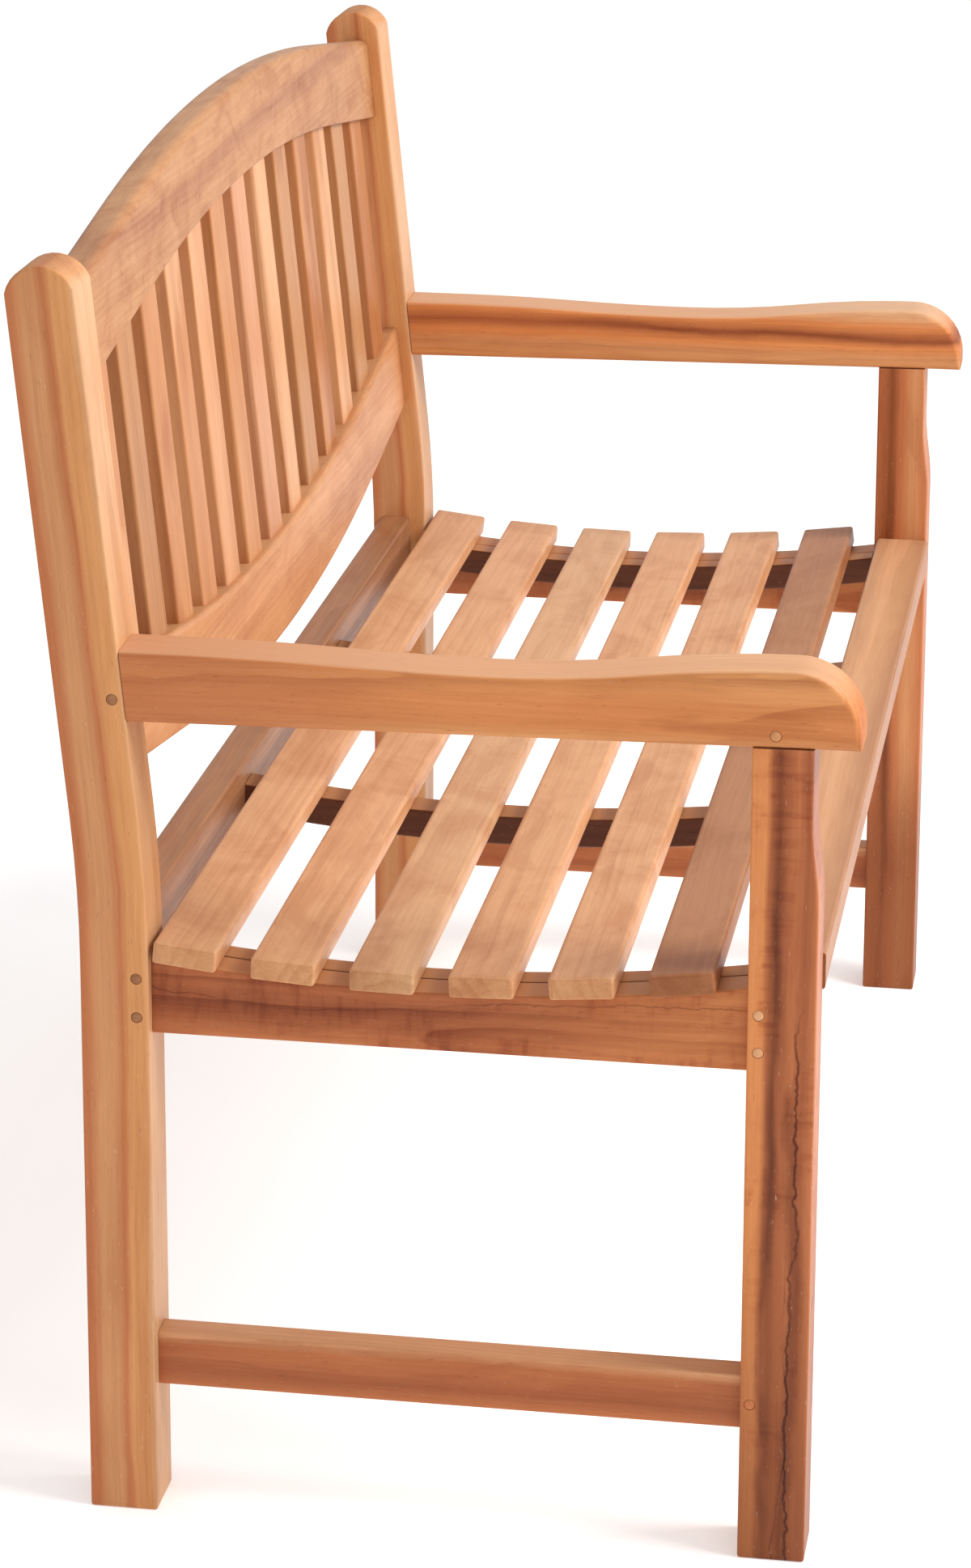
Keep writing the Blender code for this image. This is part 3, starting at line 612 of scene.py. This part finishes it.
def seat_slats(material):
    t = Shape(
        "seat_slats",
        Half=SLAT_HALF,
        Edge=0.0028,
        Dish=DISH_RADIUS,
        Lowest=DISH_LOWEST,
        Finish=material,
    )
    half, edge, dish, lowest, finish = t.given("Half", "Edge", "Dish", "Lowest", "Finish")
    depth = t.split(t.add("GeometryNodeInputPosition"))[1]
    slope = ((depth - lowest) / dish).math("ARCTANGENT")
    board = rounded_board(t, half, edge)
    t.close(stamped(t, t.entry.out("Points"), board, t.xyz(slope, 0.0, 0.0)), finish)
    return grow("seat_slats", t, SEAT_SLATS, "teak_seat_slats", [middle_of(n) for n in SEAT_SLATS])


print("the dish is lowest at y", round(DISH_LOWEST, 4))

# %% [markdown]
# ## The curved back rails
# Crest rail and lower rail mirror each other: the middle of each follows a shallow arc and
# the ends run on straight. A curve with a profile would swing the ends round square to it,
# but these are sawn upright, so the tree shears a long rounded board by the arc instead,
# and then leans it back.

# %% Grow the two curved rails
BACK_FOOT = (0.0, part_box("rear_leg_right")[0].y, 0.487)  # where the lean begins
BACK_MIDDLE = 0.02525  # the rails sit in the middle of the rear legs
ARCH_RADIUS, ARCH_STRAIGHT = 2.65, 0.37  # the arc's radius, and how far from the middle it ends
RAIL_POINTS = 61  # along a rail, so that its arc is smooth
RAIL_HALF_LENGTH, RAIL_HALF_THICKNESS = 0.5517, 0.014
EASED_EDGE = 0.0018


def curve_drop(x, radius, straight):
    """How far the curve has left its crown at x."""
    away = x.math("ABSOLUTE")
    bent = away.math("MINIMUM", straight)
    return (bent * bent * 0.5 + (away - bent) * straight) / radius


def leaned(t, mesh):
    """From the plane of the back into its place on the bench."""
    place = {"Translation": BACK_FOOT, "Rotation": (-LEAN, 0.0, 0.0)}
    return t.add("GeometryNodeTransform", {}, {"Geometry": mesh, **place})


def back_rail(node, height, middle, top_edge, way, material):
    t = Shape(
        node,
        Half=(RAIL_HALF_LENGTH, RAIL_HALF_THICKNESS, height / 2),
        Middle=middle,
        TopEdge=top_edge,
        LowEdge=EASED_EDGE,
        Arch=ARCH_RADIUS,
        Straight=ARCH_STRAIGHT,
        Way=way,
        Finish=material,
    )
    half, middle, top, low, arch, straight, way, finish = t.given(
        "Half", "Middle", "TopEdge", "LowEdge", "Arch", "Straight", "Way", "Finish"
    )
    upper = t.split(t.add("GeometryNodeInputPosition"))[2].math("GREATER_THAN", 0.0)
    edge = low + upper * (top - low)
    board = rounded_board(t, half, edge, steps=RAIL_POINTS, round_ends=False)
    x = t.split(t.add("GeometryNodeInputPosition"))[0]
    lift = t.xyz(0.0, BACK_MIDDLE, middle + curve_drop(x, arch, straight) * way)
    board = t.add("GeometryNodeSetPosition", {}, {"Geometry": board, "Offset": lift})
    t.close(leaned(t, board), finish)
    return grow(f"{node}_board", t, [node], "teak_back_rails")


print("the back leans from", [round(v, 4) for v in BACK_FOOT])

# %% [markdown]
# ## Back slats
# Thirteen thin uprights stand between the rails, each as long as the two arcs allow at its
# place. One slat stretched to thirteen heights would stretch its round edges as well; only
# the ends stretch here, and those are hidden in the rails. They are numbered from the right.

# %% Grow the back slats
BACK_SLATS = [f"back_slat_{i:02d}" for i in range(1, 14)]


def back_slats(material):
    t = Shape(
        "back_slats",
        Count=len(BACK_SLATS),
        Pitch=0.082,
        Width=0.047,
        Thickness=0.013,
        Edge=EASED_EDGE,
        Low=0.0895,
        High=0.4225,
        Arch=ARCH_RADIUS,
        Straight=ARCH_STRAIGHT,
        Finish=material,
    )
    count, pitch, width, thick, edge, low, high, arch, straight, finish = t.given(
        "Count", "Pitch", "Width", "Thickness", "Edge", "Low", "High", "Arch", "Straight", "Finish"
    )
    start = (count - 1.0) * pitch * -0.5
    first, step = t.xyz(start, BACK_MIDDLE, 0.0), t.xyz(pitch, 0.0, 0.0)
    row = t.add(
        "GeometryNodeMeshLine",
        {"mode": "OFFSET"},
        {"Count": count, "Start Location": first, "Offset": step},
    )
    x = t.split(t.add("GeometryNodeInputPosition"))[0]
    drop = curve_drop(x, arch, straight)
    lift = t.xyz(0.0, 0.0, (low + high) * 0.5)
    row = t.add("GeometryNodeSetPosition", {}, {"Geometry": row, "Offset": lift})
    tall = (high - low) * 0.5 - drop
    board = rounded_board(t, t.xyz(width * 0.5, thick * 0.5, 1.0), edge)
    t.close(leaned(t, stamped(t, row, board, scale=t.xyz(1.0, 1.0, tall))), finish)
    return grow("back_slats", t, BACK_SLATS, "teak_back_slats")


print(len(BACK_SLATS), "back slats to grow")

# %% [markdown]
# ## Pegs
# Every joint is locked by an 8 mm peg, driven in and cut flush, so only a disc of end grain
# shows. A disc laid on the wood would do for looks, but the pegs are whole, as the joints
# need them. One tree makes them all: a thin cylinder with its rim eased, on each point.

# %% Grow the pegs
def pegs(name, nodes, turn, material):
    t = Shape(name, Radius=0.004, Length=0.036, Rim=0.0005, Turn=turn, Finish=material)
    radius, length, rim, turned, finish = t.given("Radius", "Length", "Rim", "Turn", "Finish")
    sizes = {"Vertices": 24, "Side Segments": 6, "Radius": 1.0, "Depth": 2.0}
    rod = t.add("GeometryNodeMeshCylinder", {}, sizes)
    x, y, z = t.split(t.add("GeometryNodeInputPosition"))
    at_rim = z.math("ABSOLUTE").math("GREATER_THAN", 0.9)
    near_end = z.math("ABSOLUTE").math("GREATER_THAN", 0.5)
    thick = radius - rim * at_rim
    ends = z.math("SIGN") * (length * 0.5 - rim * (1.0 - at_rim)) * near_end
    shank = z * (1.0 - near_end) * length * 0.25
    spot = t.xyz(x * thick, y * thick, ends + shank)
    rod = t.add("GeometryNodeSetPosition", {}, {"Geometry": rod, "Position": spot})
    t.close(stamped(t, t.entry.out("Points"), rod, turned), finish)
    return grow(name, t, nodes, "teak_pegs", [middle_of(n) for n in nodes])


print("pegs will be 8 mm across")

# %% [markdown]
# ## The rear legs
# The rear legs are long golden boards, redder towards the back, with a few broad bands that
# follow the bend. Straight bands would run off the edge above the seat, as they do on a leg
# sawn out of a straight plank; these read better bent, so the grain is sheared with the leg.


# %% Finish the rear legs
def bend_of(node):
    """The middle of a rear leg at the height where it bends."""
    low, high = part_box(node)
    return ((low.x + high.x) / 2, low.y + BACK_MIDDLE, BACK_FOOT[2])


for side, seed in (("right", 1.0), ("left", 2.0)):
    finish_node(
        f"rear_leg_{side}",
        [(-26, SAPWOOD), (-21, HONEY), (-10, HONEY), (-5, RUSSET), (2, GOLD), (12, GOLD), (20, RUSSET)],
        "Z",
        seed,
        middle=bend_of(f"rear_leg_{side}"),
        bent=True,
        pith=(0.12, 0.10),
        rings=0.12,
        wobble=0.012,
        pores=0.4,
    )

# %% [markdown]
# ## The front legs
# The front legs are red heartwood, painted darker towards the foot as shade where less light
# falls. Broad dark bands wander down the right one, and in its lower part a black, jagged
# mineral line runs near the front edge. A line could be painted on with a mask, but a vein
# placed by its distance from a wandering course goes round the corner of the leg and needs no map.

# %% Finish the front legs
finish_node(
    "front_leg_right",
    [(-24, RUSSET), (-17, BRICK), (-9, RUSSET), (0, BRICK), (5, CHESTNUT), (10, BRICK), (15, AMBER)],
    "Z",
    3.0,
    wobble=0.022,
    # painted shade: darker towards the foot
    drift=(CHESTNUT, 0.0, -0.36),
    rings=0.15,
    clouds=0.5,
    pores=0.4,
    ripple=0.8,
    veins=[
        (4.0, 7.0, 40.0, 10.0, 0.55, 0.22),
        (-13.0, 1.7, 34.0, 16.0, 1.0, 0.10),
        (-10.0, 9.0, 34.0, 12.0, 0.55, 0.16),
        (-1.0, 1.0, 60.0, 14.0, 0.8, -0.10),
    ],
)
finish_node(
    "front_leg_left",
    [(-24, RUSSET), (-10, GOLD), (0, RUSSET), (10, CHESTNUT), (24, RUSSET)],
    "Z",
    4.0,
    wobble=0.02,
    # painted shade: darker towards the foot
    drift=(CHESTNUT, -0.06, -0.20),
    rings=0.2,
    pores=0.35,
    veins=[(9.0, 6.0, 30.0, 6.0, 0.4, 0.2)],
)

# %% [markdown]
# ## The armrests
# The right armrest is orange with fine dark lines low on its side, and the left one has a
# long dark streak. Their tops are paler from a painted sheen, as light from above. The paler
# top could be a second material on the upper faces, but a share of a paler tone, read from
# how far a face looks up, also fades round the nose as the real one does.

# %% Finish the armrests
finish_node(
    "armrest_right",
    [(-28, HONEY), (-16, APRICOT), (0, AMBER), (28, HONEY)],
    "Y",
    5.0,
    face="deep",
    drift=(RUSSET, -0.05, 0.20),
    pith=(0.12, 0.03),
    spacing=0.004,
    rings=0.4,
    clouds=0.2,
    # painted sheen on the top
    bleach=(BLEACHED, 0.5),
)
finish_node(
    "armrest_left",
    [(-28, HONEY), (-14, GOLD), (-5, AMBER), (5, BRICK), (16, AMBER), (28, SAPWOOD)],
    "Y",
    6.0,
    face="deep",
    wobble=0.02,
    rings=0.3,
    # painted sheen on the top
    bleach=(BLEACHED, 0.6),
    veins=[(6.0, 6.0, 40.0, 8.0, 0.4, 0.1)],
)

# %% [markdown]
# ## Side rails, stretchers, battens and bearers
# All of these run from front to back, so one loop finishes both ends of the bench. The side
# rails are figured red heartwood with ripples across the grain, with tops painted a lit gold.
# Battens and bearers are dark in the shade of the seat; darker lamps alone would dull the rest
# of the bench, so they get a dark tone as painted shade, and their dished tops are painted lit.

# %% Finish the side rails, stretchers, battens and bearers
for side, seed in (("right", 7.0), ("left", 12.0)):
    finish_node(
        f"side_rail_{side}",
        [(-24, RUSSET), (0, BRICK), (24, RUSSET)],
        "Y",
        seed,
        face="deep",
        wobble=0.05,
        drift=(APRICOT, 0.0, -0.22),
        pith=(0.015, 0.02),
        spacing=0.008,
        rings=0.6,
        clouds=0.7,
        ripple=0.8,
        # painted light: the top is mixed towards a lit gold
        bleach=(GOLD, 0.8),
        veins=[(4.0, 1.0, 60.0, 12.0, 0.5, 1.0)],
    )
    # painted shade: battens and bearers are dark all round, with their tops painted a lit gold
    dark = [(-10, UMBER), (10, UMBER)]
    finish_node(f"side_batten_{side}", dark, "Y", seed + 1, face="deep", bleach=(GOLD, 0.85))
    finish_node(
        f"side_stretcher_{side}",
        [(-20, RUSSET), (-8, BRICK), (12, RUSSET), (20, BUFF)],
        "Y",
        seed + 2,
        face="deep",
        pith=(0.14, 0.04),
        spacing=0.005,
    )
    finish_node(f"seat_bearer_{side}", dark, "Y", seed + 3, face="deep", bleach=(GOLD, 0.7))

# %% [markdown]
# ## Seat frame
# The front rail is wide and pale with fine lines, and the rear rail is dark brown and
# mottled. Both run the length of the bench, and so does their grain. They keep their sawn
# meshes, like the legs, since the bearers are let into them.

# %% Finish the seat rails
finish_node(
    "seat_rail_front",
    [(-20, CLAY), (-10, STRAW), (5, TAN), (20, STRAW)],
    "X",
    21.0,
    pith=(0.03, 0.05),
    rings=0.3,
)
finish_node(
    "seat_rail_rear",
    [(-14, DRAB), (-5, DRAB), (3, CLAY), (14, DRAB)],
    "X",
    22.0,
    wobble=0.03,
    clouds=0.6,
    bleach=(BLEACHED, 0.0),
)

# %% [markdown]
# ## The seat slats
# Six boards from several logs: five are pale, and the front one is browner. Six materials
# would do this too, but one material that reads each slat's number keeps them alike in all
# but tone and pattern. The rings are wide and faint and the clouds soft, as on planed teak.

# %% Grow and finish the seat slats
seat_slats(
    teak(
        "teak_seat_slats",
        [BUFF, BUFF, SAPWOOD, BUFF, BUFF, CLAY],
        "X",
        middle_of("seat_slat_3"),
        seed=50.0,
        pith=(0.012, 0.045),
        spacing=0.013,
        rings=0.22,
        streaks=0.15,
        clouds=0.75,
        blotch=(9.0, 14.0),
        bleach=(BLEACHED, 0.12),
    )
)

# %% [markdown]
# ## The back slats
# The slats of the back are narrower and quarter sawn, so they show straight fine lines and
# few clouds. Their thin sides are painted darker than their faces, as shade between the slats.

# %% Grow and finish the back slats
back_slats(
    teak(
        "teak_back_slats",
        [BUFF, STRAW, GOLD, BUFF, TAN, GOLD, ROSE, BUFF, STRAW, GOLD, BUFF, STRAW, GOLD],
        "Z",
        middle_of("back_slat_07"),
        lean=LEAN,
        seed=30.0,
        rings=0.15,
        clouds=0.25,
        # painted shade on the thin sides
        inner=0.9,
    )
)

# %% [markdown]
# ## The curved rails
# Both rails are sawn to their curve out of wide straight planks, so the grain stays level
# and runs out at the edges; bending the grain with the rail would look like steamed wood.
# The crest is cloudy and blotched, and the lower rail is calmer.

# %% Grow and finish the curved rails
back_rail(
    "back_rail_crest",
    height=0.0735,
    middle=0.44525,
    top_edge=0.007,
    way=-1.0,
    material=teak(
        "teak_crest",
        [(-36, STRAW), (-20, STRAW), (5, STRAW), (25, CLAY), (36, STRAW)],
        "X",
        middle_of("back_rail_crest"),
        seed=23.0,
        face="deep",
        wobble=0.05,
        rings=0.12,
        streaks=0.15,
        clouds=0.8,
        blotch=(16.0, 24.0),
        ripple=0.3,
        bleach=(BLEACHED, 0.1),
    ),
)
back_rail(
    "back_rail_lower",
    height=0.075,
    middle=0.066,
    top_edge=0.004,
    way=1.0,
    material=teak(
        "teak_lower_rail",
        [(-36, GOLD), (0, TAN), (20, GOLD)],
        "X",
        middle_of("back_rail_lower"),
        seed=24.0,
        face="deep",
        wobble=0.05,
        rings=0.15,
        clouds=0.5,
        blotch=(9.0, 20.0),
        bleach=(BLEACHED, 0.1),
    ),
)

# %% [markdown]
# ## The pegs
# A peg shows its end grain, so its material turns the grain along the peg and leaves out the
# darkening that end grain gets elsewhere. The pegs at the rear end of the seat are darker
# than their boards and those at the front are paler, so each has its own numbered tone.

# %% Grow and finish the pegs
SIDE_PEG_TONES = {
    "peg_arm_rear": DRAB,
    "peg_arm_front": GOLD,
    "peg_rail_rear_upper": DRAB,
    "peg_rail_rear_lower": DRAB,
    "peg_rail_front_upper": BUFF,
    "peg_rail_front_lower": TAN,
    "peg_stretcher_front": RUSSET,
}
BACK_PEGS = ("peg_back_lower", "peg_back_crest")
QUARTER = math.pi / 2


def both_ends(kinds):
    return [f"{kind}_{side}" for side in ("right", "left") for kind in kinds]


side_tones = list(SIDE_PEG_TONES.values()) * 2
peg_wood = teak("teak_side_pegs", side_tones, "X", seed=70.0, clouds=0.1, ends=PLAIN)
back_peg_wood = teak("teak_back_pegs", [TAN, BUFF, BUFF, TAN], "Y", lean=LEAN, seed=71.0, ends=PLAIN)
seat_peg_wood = teak("teak_seat_pegs", [TAN, BUFF], "Y", seed=72.0, ends=PLAIN)
pegs("side_pegs", both_ends(SIDE_PEG_TONES), (0.0, QUARTER, 0.0), peg_wood)
pegs("back_pegs", both_ends(BACK_PEGS), (QUARTER - LEAN, 0.0, 0.0), back_peg_wood)
pegs("seat_pegs", both_ends(["peg_seat_rear"]), (QUARTER, 0.0, 0.0), seat_peg_wood)

# %% [markdown]
# ## Studio
# A bench in the open is lit from everywhere, and an even white sky gives that. One large
# soft panel, high in front, then brightens the tops and the front faces. The floor is pale,
# without a visible edge, and glows a little, so that it stays white under the bench too. A
# backdrop would do as well from the front, but it would stand in the way of other views.


# %% Floor and lights
FLOOR_HALF = 40.0
SKY_STRENGTH = 0.73
FLOOR_GLOW = 0.3
PANEL_PLACE, PANEL_AIM = (-0.6, -3.0, 2.9), (0.0, 0.0, 0.5)
PANEL_SIZE, PANEL_WATTS = (2.0, 1.6), 138.0


def pale_floor():
    corners = [(x * FLOOR_HALF, y * FLOOR_HALF, 0.0) for x, y in ((-1, -1), (1, -1), (1, 1), (-1, 1))]
    ground = bpy.data.meshes.new("floor")
    ground.from_pydata(corners, [], [(0, 1, 2, 3)])
    floor = bpy.data.objects.new("floor", ground)
    bpy.context.scene.collection.objects.link(floor)
    paper = bpy.data.materials.new("pale_floor")
    paper.use_nodes = True
    sockets = paper.node_tree.nodes["Principled BSDF"].inputs
    sockets["Base Color"].default_value = paint(0.92, 0.92, 0.92)
    sockets["Roughness"].default_value = 0.9
    sockets["Specular IOR Level"].default_value = 0.1
    sockets["Emission Color"].default_value = paint(1.0, 1.0, 1.0)
    sockets["Emission Strength"].default_value = FLOOR_GLOW
    ground.materials.append(paper)
    floor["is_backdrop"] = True


def soft_panel():
    light = bpy.data.lights.new("front_panel", "AREA")
    light.shape, light.size, light.size_y = "RECTANGLE", *PANEL_SIZE
    light.energy = PANEL_WATTS
    panel = bpy.data.objects.new("front_panel", light)
    panel.location = PANEL_PLACE
    aim = Vector(PANEL_AIM) - Vector(PANEL_PLACE)
    panel.rotation_euler = aim.to_track_quat("-Z", "Y").to_euler()
    bpy.context.scene.collection.objects.link(panel)


def white_sky():
    sky = bpy.data.worlds.new("sky")
    sky.use_nodes = True
    sockets = sky.node_tree.nodes["Background"].inputs
    sockets["Color"].default_value = paint(1.0, 1.0, 1.0)
    sockets["Strength"].default_value = SKY_STRENGTH
    bpy.context.scene.world = sky


pale_floor()
white_sky()
soft_panel()
bpy.context.scene.view_settings.view_transform = "Standard"
print("sky", SKY_STRENGTH, "panel", PANEL_WATTS, "W")

# %% [markdown]
# ## Camera
# The bench is seen along its length, from beyond the right armrest and well above the seat,
# a little from the front. A long lens from 3.5 m keeps the far end from shrinking too much.
# The camera's axes are worked out from its turn, its tilt and a touch of roll; an aim point
# would be simpler, but it can't give the roll. A vertical shift frames the bench.

# %% The camera
CAMERA_PLACE = (-3.5345, -0.51016, 1.58754)
YAW, PITCH, ROLL = math.radians(9.1453), math.radians(14.8814), math.radians(0.185)
SENSOR, FOCAL_LENGTH, SHIFT = 36.0, 102.72, -0.1904
ahead = Vector((math.cos(YAW) * math.cos(PITCH), math.sin(YAW) * math.cos(PITCH), -math.sin(PITCH)))
level = Vector((math.sin(YAW), -math.cos(YAW), 0.0))
upward = level.cross(ahead)
rightward = math.cos(ROLL) * level + math.sin(ROLL) * upward
upward = math.cos(ROLL) * upward - math.sin(ROLL) * level
lens = bpy.data.cameras.new("camera")
lens.sensor_width, lens.lens = SENSOR, FOCAL_LENGTH
lens.shift_y = SHIFT
camera = bpy.data.objects.new("camera", lens)
turn = Matrix((rightward, upward, -ahead)).transposed().to_4x4()
camera.matrix_world = Matrix.Translation(CAMERA_PLACE) @ turn
bpy.context.scene.collection.objects.link(camera)
bpy.context.scene.camera = camera
print("camera at", CAMERA_PLACE, "with a", FOCAL_LENGTH, "mm lens")

# %% [markdown] ## Measure and close The finished bench must fill the same box as the joined
# frame, so both boxes are gathered side by side, and the visual one is printed.

# %% Gather the two boxes and finish
seen_low, seen_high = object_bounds()
boxes = {"cad": [list(cad_low), list(cad_high)], "visual": [list(seen_low), list(seen_high)]}
print("visual box", [round(v, 4) for v in (*seen_low, *seen_high)])
